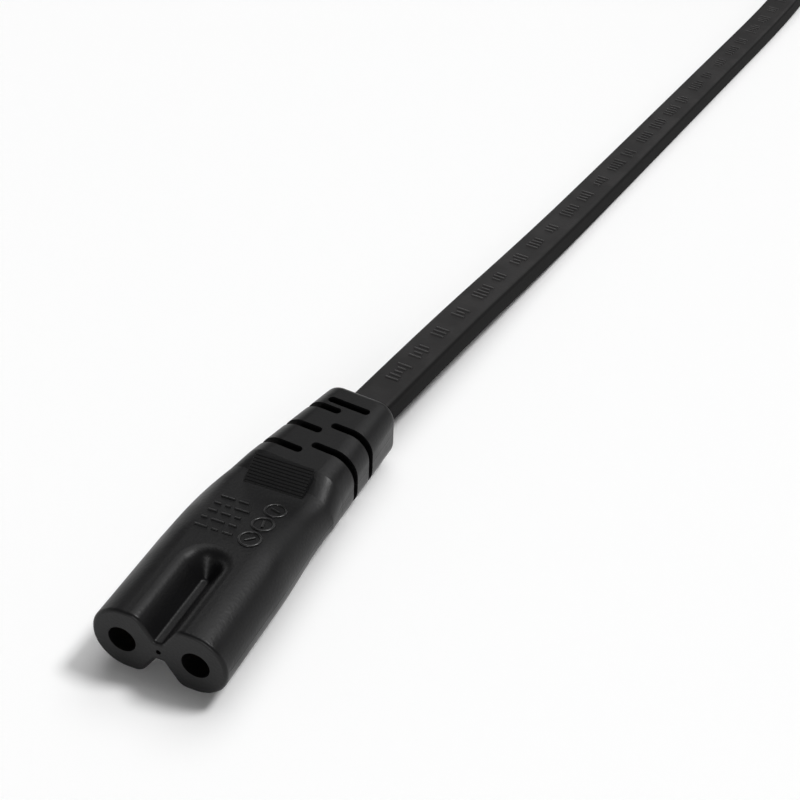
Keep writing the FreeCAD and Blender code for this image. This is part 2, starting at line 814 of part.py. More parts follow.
def pin(label, side):
    """A turned pin with a rounded tip, a shank under the sleeve and a solder cup behind the bridge."""
    body = plug_body(label, side + "plug_pitch / 2")
    profile = new_sketch(body, label + "_profile", "XY_Plane")
    tip_shoulder = "pin_tip_round - pin_length"
    outline(profile, [
        ("0", "-pin_length"),
        ("pin_radius - pin_tip_round", "-pin_length", "pin_radius - pin_tip_round", tip_shoulder, 1),
        ("pin_radius", tip_shoulder),
        ("pin_radius", "-sleeve_length"),
        ("shank_radius", "-sleeve_length"),
        ("shank_radius", "shank_length"),
        ("solder_cup_radius", "shank_length"),
        ("solder_cup_radius", "cup_end"),
        ("wire_radius", "cup_end"),
        ("wire_radius", "shank_length"),
        ("0", "shank_length"),
    ])
    revolve(body, label + "_turning", profile)
    return body


def sleeve(label, side):
    """The insulating sleeve round the root of a pin, as thick as the step in the pin, on the plug's face."""
    body = plug_body(label, side + "plug_pitch / 2")
    profile = new_sketch(body, label + "_profile", "XY_Plane")
    outline(profile, [
        ("shank_radius", "-sleeve_length"),
        ("pin_radius", "-sleeve_length"),
        ("pin_radius", "-sleeve_chamfer"),
        ("pin_radius - sleeve_chamfer", "0"),
        ("shank_radius", "0"),
    ])
    revolve(body, label + "_tube", profile)
    return body


def plug_bridge():
    """The stiff block that holds both pins at their pitch."""
    body = plug_body("plug_bridge")
    section = cross_sketch(body, "bridge_section", "bridge_wall")
    rounded_rectangle(section, "bridge_width", "bridge_height", "bridge_round")
    for side in ("", "-"):
        circle(section, side + "plug_pitch / 2", "0", "shank_radius")
    pad(body, "bridge_block", section, "bridge_length")
    return body


def on_surface(across, along, height):
    """A point of the lead: across and along in the connector's frame, height over the surface it lies on."""
    return FreeCAD.Vector(across, along - value("body_reach") / 2, height)


def in_relief(across, along):
    """A point on the flexed relief's middle plane."""
    point = relief_point(across, along)
    return on_surface(point.x, point.y, value("pad_reach"))


def in_plug(across, along):
    """A point on the plug's middle plane, in its turned frame."""
    return on_surface(-across, value("plug_face") - along, value("plug_axis"))


def connector_core(label, side):
    """A core that runs in from its crimp to meet the jacket."""
    near = side * value("pin_pitch") / 2
    far = side * value("core_pitch") / 2
    lead = value("core_lead")
    start = value("wire_end")
    jacket = value("jacket_start")
    return core(label, [
        on_surface(near, start, value("pad_reach")),
        on_surface(near, start + lead, value("pad_reach")),
        in_relief(far, jacket - lead),
        in_relief(far, jacket),
    ])


def plug_core(label, side):
    """A core that runs in from its solder cup to meet the jacket."""
    near = side * value("plug_pitch") / 2
    far = side * value("core_pitch") / 2
    lead = value("plug_core_lead")
    start = value("cup_end + wire_bare")
    jacket = value("plug_jacket")
    return core(label, [
        in_plug(near, start),
        in_plug(near, start + lead),
        in_plug(far, jacket - lead),
        in_plug(far, jacket),
    ])


def cut_inserts(label, blank, inserts):
    """Let the inserts into a moulded body, so that they seat face to face."""
    together = doc.addObject("Part::MultiFuse", label + "_inserts")
    together.Shapes = inserts
    finished = doc.addObject("Part::Cut", label)
    finished.Base = blank
    finished.Tool = together
    doc.recompute()
    return finished


LYING = value("cord_thickness / 2")
ON_COIL = value("coil_top + cord_thickness / 2")

# Route of the free cord: out along the flexed relief, down to the surface and on to the coil
CORD_ROUTE = [
    in_relief(0, value("jacket_start")),
    in_relief(0, 38.0),
    on_surface(8.15, 97.0, LYING + 0.5),
    on_surface(11.45, 126.0, LYING),
    on_surface(15.55, 160.0, LYING),
    on_surface(value("lead_in_across"), value("coil_start") - 8.0, LYING),
    on_surface(value("lead_in_across"), value("lead_in_start"), LYING),
]

# Route of the tail: off the top of the coil and across to the plug that lies on it
TAIL_ROUTE = [
    on_surface(value("stub_across"), value("coil_near"), ON_COIL),
    on_surface(value("stub_across"), value("coil_near + tail_turn"), ON_COIL),
    on_surface(0, value("coil_near + tail_reach"), value("plug_axis")),
    in_plug(0, value("plug_jacket")),
]

contacts = [contact("contact_left", "-"), contact("contact_right", "")]
carrier = contact_carrier()
wires = []
for name, side in (("wire_left", "-"), ("wire_right", "")):
    wires.append(wire(name, side + "pin_pitch / 2", "crimp_start", "wire_end - crimp_start", "pad_reach", 1))
cores = [connector_core("core_left", -1), connector_core("core_right", 1)]
cord_run = cord("cord_run", CORD_ROUTE)
connector = cut_inserts("connector_overmould", moulding(), [carrier] + wires + cores + [cord_run])

coil = cord_coil()
band = cord_band()
cord_tail = cord("cord_tail", TAIL_ROUTE)

pins = [pin("pin_left", "-"), pin("pin_right", "")]
sleeves = [sleeve("sleeve_left", "-"), sleeve("sleeve_right", "")]
bridge = plug_bridge()
plug_wires = []
for name, side in (("plug_wire_left", ""), ("plug_wire_right", "-")):
    plug_wires.append(wire(name, side + "plug_pitch / 2", "plug_face - shank_length",
                           "solder_cup_length + wire_bare", "plug_axis", -1))
plug_cores = [plug_core("plug_core_left", -1), plug_core("plug_core_right", 1)]
plug_inserts = pins + sleeves + [bridge] + plug_wires + plug_cores + [cord_tail]
plug = cut_inserts("plug_overmould", plug_moulding(), plug_inserts)

doc.recompute()
failed = [item.Name for item in doc.Objects if "Invalid" in item.State or "Error" in item.State]
assert not failed, failed
nodes = contacts + [carrier] + wires + cores + [connector, cord_run, coil, band, cord_tail]
nodes += pins + sleeves + [bridge] + plug_wires + plug_cores + [plug]
for node in nodes:
    assert not node.Shape.isNull() and node.Shape.isValid(), node.Label
os.makedirs("parts", exist_ok=True)
for node in nodes:
    node.Shape.exportStep(os.path.join("parts", node.Label + ".step"))
    print(node.Label, len(node.Shape.Solids), round(node.Shape.Volume, 2))
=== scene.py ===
import math

import bmesh
import bpy
from mathutils import Matrix, Vector
from mathutils.bvhtree import BVHTree


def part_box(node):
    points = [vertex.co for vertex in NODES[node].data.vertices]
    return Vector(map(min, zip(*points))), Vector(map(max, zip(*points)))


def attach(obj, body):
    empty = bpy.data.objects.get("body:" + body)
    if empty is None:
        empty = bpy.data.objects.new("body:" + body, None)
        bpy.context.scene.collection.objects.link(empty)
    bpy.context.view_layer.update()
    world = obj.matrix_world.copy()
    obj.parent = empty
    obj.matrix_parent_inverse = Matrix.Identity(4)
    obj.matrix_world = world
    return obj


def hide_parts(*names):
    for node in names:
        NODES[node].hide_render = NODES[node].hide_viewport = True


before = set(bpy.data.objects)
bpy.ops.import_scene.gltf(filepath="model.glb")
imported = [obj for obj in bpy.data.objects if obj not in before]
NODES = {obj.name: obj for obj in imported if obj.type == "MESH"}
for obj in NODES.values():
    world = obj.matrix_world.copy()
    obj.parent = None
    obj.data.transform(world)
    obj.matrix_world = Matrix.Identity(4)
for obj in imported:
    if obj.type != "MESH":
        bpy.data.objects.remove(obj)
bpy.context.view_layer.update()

BODY = "root"
MM = 0.001

# The connector's own frame: the middle of the mating face, at mid height
BODY_LOW, BODY_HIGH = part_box("connector_overmould")
FACE_Y = BODY_LOW.y
AXIS_Z = (BODY_LOW.z + BODY_HIGH.z) / 2


def from_face(across, along, up):
    """A point in millimetres from the middle of the mating face."""
    return Vector((across * MM, FACE_Y + along * MM, AXIS_Z + up * MM))


def on_surface(across, along, height):
    """A point in millimetres from the mating face, at a height over the surface that the lead lies on."""
    return Vector((across * MM, FACE_Y + along * MM, height * MM))


# Camera

PHOTO_SIZE = 800
FOCAL_PIXELS = 1508.0
SENSOR_MM = 36.0
CAMERA_PLACE = from_face(61.37, -89.94, 114.0)
CAMERA_ELEVATION = math.radians(37.13)
CAMERA_AZIMUTH = math.radians(21.84)
CAMERA_ROLL = math.radians(2.41)
CLIP_NEAR, CLIP_FAR = 0.005, 500.0


def photo_camera():
    """The camera that the photograph was taken with, solved on the connector's known sizes."""
    ahead = Vector((-math.sin(CAMERA_AZIMUTH) * math.cos(CAMERA_ELEVATION),
                    math.cos(CAMERA_AZIMUTH) * math.cos(CAMERA_ELEVATION),
                    -math.sin(CAMERA_ELEVATION)))
    level = Vector((math.cos(CAMERA_AZIMUTH), math.sin(CAMERA_AZIMUTH), 0))
    rise = level.cross(ahead)
    right = level * math.cos(CAMERA_ROLL) + rise * math.sin(CAMERA_ROLL)
    up = rise * math.cos(CAMERA_ROLL) - level * math.sin(CAMERA_ROLL)
    data = bpy.data.cameras.new("photo_camera")
    data.sensor_fit = "HORIZONTAL"
    data.sensor_width = SENSOR_MM
    data.lens = FOCAL_PIXELS / PHOTO_SIZE * SENSOR_MM
    data.clip_start = CLIP_NEAR
    data.clip_end = CLIP_FAR
    camera = bpy.data.objects.new("photo_camera", data)
    turn = Matrix((right, up, -ahead)).transposed()
    camera.matrix_world = Matrix.Translation(CAMERA_PLACE) @ turn.to_4x4()
    bpy.context.scene.collection.objects.link(camera)
    bpy.context.scene.camera = camera


# Cord

CORD_WIDTH = 5.3
CORD_THICKNESS = 3.35
CORD_ROUND = 0.6
GRIP_STATION = 22.0
FLEX = math.radians(6.6)
JACKET_START = 5.0
LYING = CORD_THICKNESS / 2

COIL_START = 221.0
COIL_NEAR = COIL_START + 24.45
COIL_RUN = 93.0
COIL_FAR = COIL_NEAR + COIL_RUN
COIL_INNER = 14.2
BAND = 0.5
STRAND_PITCH = 3.42
LOW_LAYER = BAND + CORD_WIDTH / 2
HIGH_LAYER = LOW_LAYER + CORD_WIDTH
COIL_TOP = BAND + 2 * CORD_WIDTH
LEAD_IN_ACROSS = 22.0
LEAD_IN_START = COIL_START + 9.0
STUB_ACROSS = 20.5
PLUG_FACE = COIL_START + 128.5
PLUG_JACKET = 41.5
PLUG_HEIGHT = 13.7
PLUG_AXIS = COIL_TOP + PLUG_HEIGHT / 2

# Where the cord turns on its edge for the coil, in metres from its start, and level again, from its end
EDGE_FROM, EDGE_TO = 0.205, 0.250
LEVEL_FROM, LEVEL_TO = 0.135, 0.085


def in_relief(across, along):
    """A point of the flexed strain relief, on its middle plane."""
    x = across * math.cos(FLEX) + along * math.sin(FLEX)
    y = GRIP_STATION + along * math.cos(FLEX) - across * math.sin(FLEX)
    return from_face(x, y, 0)


def coil_fold(middle, sides, heights, far):
    """Control points of half a turn round one end of the coil, from one side to the other."""
    STEPS = 6
    SPLINE_PULL = math.cos(math.pi / STEPS / 2)
    points = []
    for step in range(STEPS + 1):
        share = step / STEPS
        turn = math.pi * share + (0 if far else math.pi)
        radius = (sides[0] + (sides[1] - sides[0]) * share) / SPLINE_PULL
        height = heights[0] + (heights[1] - heights[0]) * share
        points.append(on_surface(radius * math.cos(turn), middle + radius * math.sin(turn), height))
    return points


def coil_turns():
    """Five turns: three that spiral inwards on the surface and two that spiral out on top of them."""
    RUN_SHARES = (0.25, 0.5, 0.75)
    UPPER_SHIFT = 0.7
    LAST_SPREAD = 1.6
    inner = COIL_INNER + CORD_THICKNESS / 2
    middle = inner + STRAND_PITCH
    outer = middle + STRAND_PITCH
    upper_in = inner + UPPER_SHIFT
    upper_out = upper_in + STRAND_PITCH
    last_side = upper_out + LAST_SPREAD
    right = [outer, middle, inner, upper_in, upper_out]
    near = [middle, inner, upper_in, upper_out, last_side]
    far_height = [LOW_LAYER, LOW_LAYER, LOW_LAYER, HIGH_LAYER, HIGH_LAYER]
    near_height = [LOW_LAYER, LOW_LAYER, HIGH_LAYER, HIGH_LAYER, HIGH_LAYER]
    points = []
    for turn, (side, height_there) in enumerate(zip(right, far_height)):
        last = turn == len(right) - 1
        points += coil_fold(COIL_FAR, (side, side), (height_there, height_there), True)
        for share in RUN_SHARES:
            across = -(side + (near[turn] - side) * share)
            height = height_there + (near_height[turn] - height_there) * share
            points.append(on_surface(across, COIL_FAR - COIL_RUN * share, height))
        end_side = STUB_ACROSS if last else near[turn]
        end_height = COIL_TOP + LYING if last else near_height[turn]
        points += coil_fold(COIL_NEAR, (near[turn], end_side), (near_height[turn], end_height), False)
        if last:
            break
        for share in RUN_SHARES:
            across = near[turn] + (right[turn + 1] - near[turn]) * share
            height = near_height[turn] + (far_height[turn + 1] - near_height[turn]) * share
            points.append(on_surface(across, COIL_NEAR + COIL_RUN * share, height))
    return points


def cord_route():
    """The whole cord's control points: the free run, the coil and the tail that ends in the plug."""
    run = [
        in_relief(0, JACKET_START),
        in_relief(0, 38.0),
        on_surface(8.15, 97.0, LYING + 0.5),
        on_surface(11.45, 126.0, LYING),
        on_surface(15.55, 160.0, LYING),
        on_surface(LEAD_IN_ACROSS, COIL_START - 8.0, LYING),
        on_surface(LEAD_IN_ACROSS, LEAD_IN_START, LYING + 1.4),
    ]
    outer = COIL_INNER + CORD_THICKNESS / 2 + 2 * STRAND_PITCH
    lead_in = [on_surface(outer, COIL_NEAR + COIL_RUN * share, LOW_LAYER) for share in (0.1, 0.4, 0.7)]
    tail = [
        on_surface(STUB_ACROSS, COIL_NEAR + 17.55, COIL_TOP + LYING),
        on_surface(0, COIL_NEAR + 35.55, PLUG_AXIS),
        on_surface(0, PLUG_FACE - PLUG_JACKET, PLUG_AXIS),
    ]
    return run + lead_in + coil_turns() + tail


def smooth_line(points, name):
    """Points read from a smooth spline that the control points guide."""
    STEPS_A_POINT = 12
    data = bpy.data.curves.new(name, "CURVE")
    data.dimensions = "3D"
    data.resolution_u = STEPS_A_POINT
    spline = data.splines.new("NURBS")
    spline.points.add(len(points) - 1)
    for place, point in zip(spline.points, points):
        place.co = (*point, 1)
    spline.order_u = 3
    spline.use_endpoint_u = True
    guide = bpy.data.objects.new(name, data)
    bpy.context.scene.collection.objects.link(guide)
    flat = bpy.data.meshes.new_from_object(guide.evaluated_get(bpy.context.evaluated_depsgraph_get()))
    line = [vertex.co.copy() for vertex in flat.vertices]
    bpy.data.objects.remove(guide)
    bpy.data.curves.remove(data)
    bpy.data.meshes.remove(flat)
    return line


def ease(value, low, high):
    """A smooth step from 0 to 1 between two values."""
    share = min(1.0, max(0.0, (value - low) / (high - low)))
    return share * share * (3 - 2 * share)


def flat_section():
    """The cord's outline: a rounded rectangle with its width along the first axis."""
    CORNER_STEPS = 4
    FLAT_HOLD = 0.12
    half_wide = CORD_WIDTH / 2 - CORD_ROUND
    half_thick = CORD_THICKNESS / 2 - CORD_ROUND
    corners = ((1, 1), (-1, 1), (-1, -1), (1, -1))
    outline = []
    for quarter, (side, rise) in enumerate(corners):
        start = math.pi / 2 * quarter
        arc = []
        for step in range(CORNER_STEPS + 1):
            turn = start + math.pi / 2 * step / CORNER_STEPS
            arc.append((side * half_wide + CORD_ROUND * math.cos(turn),
                        rise * half_thick + CORD_ROUND * math.sin(turn)))
        before = (arc[0][0] + FLAT_HOLD * math.sin(start), arc[0][1] - FLAT_HOLD * math.cos(start))
        after = (arc[-1][0] - FLAT_HOLD * math.cos(start), arc[-1][1] - FLAT_HOLD * math.sin(start))
        outline += [before, *arc, after]
    return [(wide * MM, thick * MM) for wide, thick in outline]


def cord_stations(line):
    """Each point of the line with its length so far, and the cord's width and thickness ways there."""
    lengths = [0.0]
    for here, there in zip(line, line[1:]):
        lengths.append(lengths[-1] + (there - here).length)
    total = lengths[-1]
    stations = []
    for number, point in enumerate(line):
        ahead = line[min(number + 1, len(line) - 1)] - line[max(number - 1, 0)]
        ahead.normalize()
        level = ahead.cross(Vector((0, 0, 1))).normalized()
        rise = level.cross(ahead)
        turned = ease(lengths[number], EDGE_FROM, EDGE_TO)
        turned -= ease(lengths[number], total - LEVEL_FROM, total - LEVEL_TO)
        roll = turned * math.pi / 2
        wide_way = level * math.cos(roll) + rise * math.sin(roll)
        thick_way = rise * math.cos(roll) - level * math.sin(roll)
        stations.append((point, lengths[number], wide_way, thick_way))
    return stations


def cord_tube(stations):
    """A flat tube along the line, level where it lies free and on edge where it is wound."""
    section = flat_section()
    mesh = bmesh.new()
    lay = mesh.verts.layers.float_vector.new("cord_lay")
    rings = []
    for point, length, wide_way, thick_way in stations:
        ring = []
        for wide, thick in section:
            vertex = mesh.verts.new(point + wide_way * wide + thick_way * thick)
            vertex[lay] = Vector((wide, thick, length))
            ring.append(vertex)
        rings.append(ring)
    count = len(section)
    for ring, following in zip(rings, rings[1:]):
        for corner in range(count):
            after = (corner + 1) % count
            mesh.faces.new((ring[corner], ring[after], following[after], following[corner]))
    mesh.faces.new(rings[0])
    mesh.faces.new(reversed(rings[-1]))
    bmesh.ops.recalc_face_normals(mesh, faces=mesh.faces)
    for face in mesh.faces:
        face.smooth = len(face.verts) == 4
    data = bpy.data.meshes.new("mains_cord")
    mesh.to_mesh(data)
    mesh.free()
    return stand("mains_cord", data)


def stand(name, data):
    """A new object with the given mesh, at the origin."""
    piece = bpy.data.objects.new(name, data)
    bpy.context.scene.collection.objects.link(piece)
    return piece


def lay_cord(stations):
    """The cord itself, which leaves the strain relief and carries the band and the plug."""
    cord = cord_tube(stations)
    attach(cord, BODY)
    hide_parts("cord_run", "cord_coil", "cord_tail")
    return cord


# Raised marks

def geometry_tree(name, inputs):
    """A new geometry tree with its named inputs, and the identifier of each."""
    tree = bpy.data.node_groups.new(name, "GeometryNodeTree")
    tree.interface.new_socket("Geometry", in_out="INPUT", socket_type="NodeSocketGeometry")
    tree.interface.new_socket("Geometry", in_out="OUTPUT", socket_type="NodeSocketGeometry")
    keys = {}
    for label, kind in inputs:
        keys[label] = tree.interface.new_socket(label, in_out="INPUT", socket_type=kind).identifier
    return tree, keys


def node(tree, kind, **settings):
    """A new node of a tree, with its settings."""
    made = tree.nodes.new(kind)
    for name, value in settings.items():
        setattr(made, name, value)
    return made


def named_vector(tree, name):
    """A vector that each point carries under a name."""
    reader = node(tree, "GeometryNodeInputNamedAttribute", data_type="FLOAT_VECTOR")
    reader.inputs["Name"].default_value = name
    return reader.outputs["Attribute"]


def finish_tree(tree, given, instances):
    """Ends a tree: its instances become one smooth mesh in the given finish."""
    link = tree.links.new
    real = node(tree, "GeometryNodeRealizeInstances")
    smooth = node(tree, "GeometryNodeSetShadeSmooth")
    finish = node(tree, "GeometryNodeSetMaterial")
    leave = node(tree, "NodeGroupOutput")
    link(instances, real.inputs["Geometry"])
    link(real.outputs["Geometry"], smooth.inputs["Geometry"])
    link(smooth.outputs["Geometry"], finish.inputs["Geometry"])
    link(given.outputs["Finish"], finish.inputs["Material"])
    link(finish.outputs["Geometry"], leave.inputs["Geometry"])


def round_stroke(tree, given, route):
    """A round bead of the given stroke width along a curve."""
    STROKE_SIDES = 8
    link = tree.links.new
    half = node(tree, "ShaderNodeMath", operation="MULTIPLY")
    half.inputs[1].default_value = 0.5
    link(given.outputs["Stroke Width"], half.inputs[0])
    bead = node(tree, "GeometryNodeCurvePrimitiveCircle")
    bead.inputs["Resolution"].default_value = STROKE_SIDES
    link(half.outputs["Value"], bead.inputs["Radius"])
    sweep = node(tree, "GeometryNodeCurveToMesh")
    sweep.inputs["Fill Caps"].default_value = True
    link(route, sweep.inputs["Curve"])
    link(bead.outputs["Curve"], sweep.inputs["Profile Curve"])
    return sweep.outputs["Mesh"]


def facing_rotation(tree):
    """The turn that stands a mark on the surface, along its own heading."""
    link = tree.links.new
    upright = node(tree, "FunctionNodeAlignRotationToVector", axis="Z")
    headed = node(tree, "FunctionNodeAlignRotationToVector", axis="X", pivot_axis="Z")
    link(named_vector(tree, "facing"), upright.inputs["Vector"])
    link(upright.outputs["Rotation"], headed.inputs["Rotation"])
    link(named_vector(tree, "heading"), headed.inputs["Vector"])
    return headed.outputs["Rotation"]


def ring_tree():
    """A raised ring on every point."""
    RING_POINTS = 36
    tree, keys = geometry_tree("raised_rings", [
        ("Ring Radius", "NodeSocketFloat"),
        ("Stroke Width", "NodeSocketFloat"),
        ("Finish", "NodeSocketMaterial"),
    ])
    link = tree.links.new
    given = node(tree, "NodeGroupInput")
    circle = node(tree, "GeometryNodeCurvePrimitiveCircle")
    circle.inputs["Resolution"].default_value = RING_POINTS
    link(given.outputs["Ring Radius"], circle.inputs["Radius"])
    place = node(tree, "GeometryNodeInstanceOnPoints")
    link(given.outputs["Geometry"], place.inputs["Points"])
    link(round_stroke(tree, given, circle.outputs["Curve"]), place.inputs["Instance"])
    link(facing_rotation(tree), place.inputs["Rotation"])
    finish_tree(tree, given, place.outputs["Instances"])
    return tree, keys


def bar_tree():
    """A raised bar on every point, as long as the point's span."""
    tree, keys = geometry_tree("raised_bars", [
        ("Stroke Width", "NodeSocketFloat"),
        ("Finish", "NodeSocketMaterial"),
    ])
    link = tree.links.new
    given = node(tree, "NodeGroupInput")
    rod = node(tree, "GeometryNodeCurvePrimitiveLine")
    rod.inputs["Start"].default_value = (-0.5, 0, 0)
    rod.inputs["End"].default_value = (0.5, 0, 0)
    place = node(tree, "GeometryNodeInstanceOnPoints")
    link(given.outputs["Geometry"], place.inputs["Points"])
    link(round_stroke(tree, given, rod.outputs["Curve"]), place.inputs["Instance"])
    link(facing_rotation(tree), place.inputs["Rotation"])
    link(named_vector(tree, "stretch"), place.inputs["Scale"])
    finish_tree(tree, given, place.outputs["Instances"])
    return tree, keys


def first_output(made):
    """The output that a node shows for its data type."""
    return [socket for socket in made.outputs if socket.enabled][0]


def random_value(tree, given, low, high):
    """A random number for each point between two numbers or sockets, from the tree's own seed."""
    made = node(tree, "FunctionNodeRandomValue", data_type="FLOAT")
    ends = [socket for socket in made.inputs if socket.type == "VALUE" and socket.enabled][:2]
    for end, value in zip(ends, (low, high)):
        if isinstance(value, float):
            end.default_value = value
        else:
            tree.links.new(value, end)
    tree.links.new(given.outputs["Seed"], made.inputs["Seed"])
    return made


def embossing_tree():
    """Groups of short raised strokes along a path, each across it and of its own height."""
    LEAST_SHARE, WHOLE = 0.5, 1.0
    tree, keys = geometry_tree("cord_embossing", [
        ("Pitch", "NodeSocketFloat"),
        ("Group", "NodeSocketInt"),
        ("Least Strokes", "NodeSocketFloat"),
        ("Most Strokes", "NodeSocketFloat"),
        ("Stroke Height", "NodeSocketFloat"),
        ("Stroke Width", "NodeSocketFloat"),
        ("Seed", "NodeSocketInt"),
        ("Finish", "NodeSocketMaterial"),
    ])
    link = tree.links.new
    given = node(tree, "NodeGroupInput")
    curve = node(tree, "GeometryNodeMeshToCurve")
    steps = node(tree, "GeometryNodeResampleCurve", mode="LENGTH")
    link(given.outputs["Geometry"], curve.inputs["Mesh"])
    link(curve.outputs["Curve"], steps.inputs["Curve"])
    link(given.outputs["Pitch"], steps.inputs["Length"])
    number = node(tree, "GeometryNodeInputIndex")
    within = node(tree, "ShaderNodeMath", operation="FLOORED_MODULO")
    ratio = node(tree, "ShaderNodeMath", operation="DIVIDE")
    group = node(tree, "ShaderNodeMath", operation="FLOOR")
    written = node(tree, "ShaderNodeMath", operation="LESS_THAN")
    link(number.outputs["Index"], within.inputs[0])
    link(given.outputs["Group"], within.inputs[1])
    link(number.outputs["Index"], ratio.inputs[0])
    link(given.outputs["Group"], ratio.inputs[1])
    link(ratio.outputs["Value"], group.inputs[0])
    strokes = random_value(tree, given, given.outputs["Least Strokes"], given.outputs["Most Strokes"])
    link(group.outputs["Value"], strokes.inputs["ID"])
    link(within.outputs["Value"], written.inputs[0])
    link(first_output(strokes), written.inputs[1])
    upright = node(tree, "GeometryNodeCurvePrimitiveLine")
    upright.inputs["Start"].default_value = (0, -0.5, 0)
    upright.inputs["End"].default_value = (0, 0.5, 0)
    tangent = node(tree, "GeometryNodeInputTangent")
    turn = node(tree, "FunctionNodeAlignRotationToVector", axis="X", pivot_axis="Z")
    link(tangent.outputs["Tangent"], turn.inputs["Vector"])
    share = random_value(tree, given, LEAST_SHARE, WHOLE)
    height = node(tree, "ShaderNodeMath", operation="MULTIPLY")
    link(first_output(share), height.inputs[0])
    link(given.outputs["Stroke Height"], height.inputs[1])
    stretch = node(tree, "ShaderNodeCombineXYZ")
    stretch.inputs["X"].default_value = 1
    stretch.inputs["Z"].default_value = 1
    link(height.outputs["Value"], stretch.inputs["Y"])
    place = node(tree, "GeometryNodeInstanceOnPoints")
    link(steps.outputs["Curve"], place.inputs["Points"])
    link(written.outputs["Value"], place.inputs["Selection"])
    link(round_stroke(tree, given, upright.outputs["Curve"]), place.inputs["Instance"])
    link(turn.outputs["Rotation"], place.inputs["Rotation"])
    link(stretch.outputs["Vector"], place.inputs["Scale"])
    finish_tree(tree, given, place.outputs["Instances"])
    return tree, keys


def grown(name, seed_mesh, built, **values):
    """The plain mesh that a geometry tree makes of a seed mesh, as a piece of the lead."""
    tree, keys = built
    piece = stand(name, seed_mesh)
    maker = piece.modifiers.new(name, "NODES")
    maker.node_group = tree
    for label, value in values.items():
        maker[keys[label.replace("_", " ")]] = value
    mesh = bpy.data.meshes.new_from_object(piece.evaluated_get(bpy.context.evaluated_depsgraph_get()))
    piece.modifiers.remove(maker)
    piece.data = mesh
    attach(piece, BODY)
    return piece


def body_skin():
    """The connector's skin, to set marks on."""
    source = NODES["connector_overmould"].data
    corners = [vertex.co for vertex in source.vertices]
    return BVHTree.FromPolygons(corners, [face.vertices for face in source.polygons])


def top_of(skin, across, along):
    """The point and the slope of the connector's upper skin over a place on it."""
    OVERHEAD = 40
    DOWN = Vector((0, 0, -1))
    return skin.ray_cast(on_surface(across, along, OVERHEAD), DOWN)[:2]


def seed_points(name, marks):
    """Points on the connector's upper skin, each with the way it faces, its heading and its stretch."""
    LIFT = 0.03 * MM
    mesh = bpy.data.meshes.new(name)
    skin = body_skin()
    places, facings, headings, stretches = [], [], [], []
    for across, along, span, turn in marks:
        point, normal = top_of(skin, across, along)
        places.append(point + normal * LIFT)
        facings.append(normal)
        headings.append(Vector((math.cos(turn), math.sin(turn), 0)))
        stretches.append(Vector((span * MM, 1, 1)))
    mesh.from_pydata(places, [], [])
    for label, vectors in (("facing", facings), ("heading", headings), ("stretch", stretches)):
        layer = mesh.attributes.new(label, "FLOAT_VECTOR", "POINT")
        for slot, vector in zip(layer.data, vectors):
            slot.vector = vector
    return mesh


MARKS_FROM = 14.6
MARK_STROKE = 0.3
RING_COLUMN = 2.6
RING_RADIUS = 1.2
RING_FROM = MARKS_FROM + 0.6
RING_PITCH = 3.0
RING_TURNS = [math.pi / 4 + number * math.pi / 3 for number in range(3)]
BAR_COLUMN = -4.0
BAR_FROM = MARKS_FROM + 0.3
BAR_PITCH = 1.5
BAR_GAP = 0.55
BAR_ROWS = ((1.5, 0.8, 1.2), (0.7, 1.6, 0.9), (1.1, 1.1, 0.7), (0.8, 0.6, 1.8), (1.7, 1.2))


def body_marks(finish):
    """Plain raised rings and bars on the upper skin, between the valley and the thumb pad."""
    rings, bars = [], []
    for row, turn in enumerate(RING_TURNS):
        along = RING_FROM + row * RING_PITCH
        rings.append((RING_COLUMN, along, 1, 0))
        bars.append((RING_COLUMN, along, RING_RADIUS, turn))
    for row, spans in enumerate(BAR_ROWS):
        across = BAR_COLUMN
        for span in spans:
            bars.append((across + span / 2, BAR_FROM + row * BAR_PITCH, span, 0))
            across += span + BAR_GAP
    grown("raised_rings", seed_points("ring_seeds", rings), ring_tree(),
          Ring_Radius=RING_RADIUS * MM, Stroke_Width=MARK_STROKE * MM, Finish=finish)
    grown("raised_bars", seed_points("bar_seeds", bars), bar_tree(),
          Stroke_Width=MARK_STROKE * MM, Finish=finish)


def cord_marks(stations, finish):
    """Plain raised strokes along the cord's upper face, up to where it turns on its edge."""
    FIRST, LAST = 0.021, 0.196
    path = []
    for point, length, wide_way, thick_way in stations:
        if FIRST < length < LAST:
            path.append(point + thick_way * LYING * MM)
    mesh = bpy.data.meshes.new("embossing_path")
    mesh.from_pydata(path, [(number, number + 1) for number in range(len(path) - 1)], [])
    grown("cord_embossing", mesh, embossing_tree(),
          Pitch=0.85 * MM, Group=7, Least_Strokes=2.0, Most_Strokes=5.0,
          Stroke_Height=2.1 * MM, Stroke_Width=0.38 * MM, Seed=7, Finish=finish)


# Finishes

PATCH_EDGES = (0.35, 0.65)
TARNISH_EDGES = (0.4, 0.7)
STREAK_EDGES = (0.3, 0.7)


def shader_group(name, inputs, outputs):
    """A new shader group with its named inputs and outputs, and its two ends."""
    tree = bpy.data.node_groups.new(name, "ShaderNodeTree")
    for label, value in inputs:
        socket = tree.interface.new_socket(label, in_out="INPUT", socket_type="NodeSocketFloat")
        socket.default_value = value
    for label in outputs:
        tree.interface.new_socket(label, in_out="OUTPUT", socket_type="NodeSocketFloat")
    return tree, node(tree, "NodeGroupInput"), node(tree, "NodeGroupOutput")


def remap(tree, value, low, high, to_low, to_high):
    """A smooth step of a value from one range to another."""
    step = node(tree, "ShaderNodeMapRange", interpolation_type="SMOOTHSTEP")
    step.inputs["From Min"].default_value = low
    step.inputs["From Max"].default_value = high
    step.inputs["To Min"].default_value = to_low
    step.inputs["To Max"].default_value = to_high
    tree.links.new(value, step.inputs["Value"])
    return step.outputs["Result"]


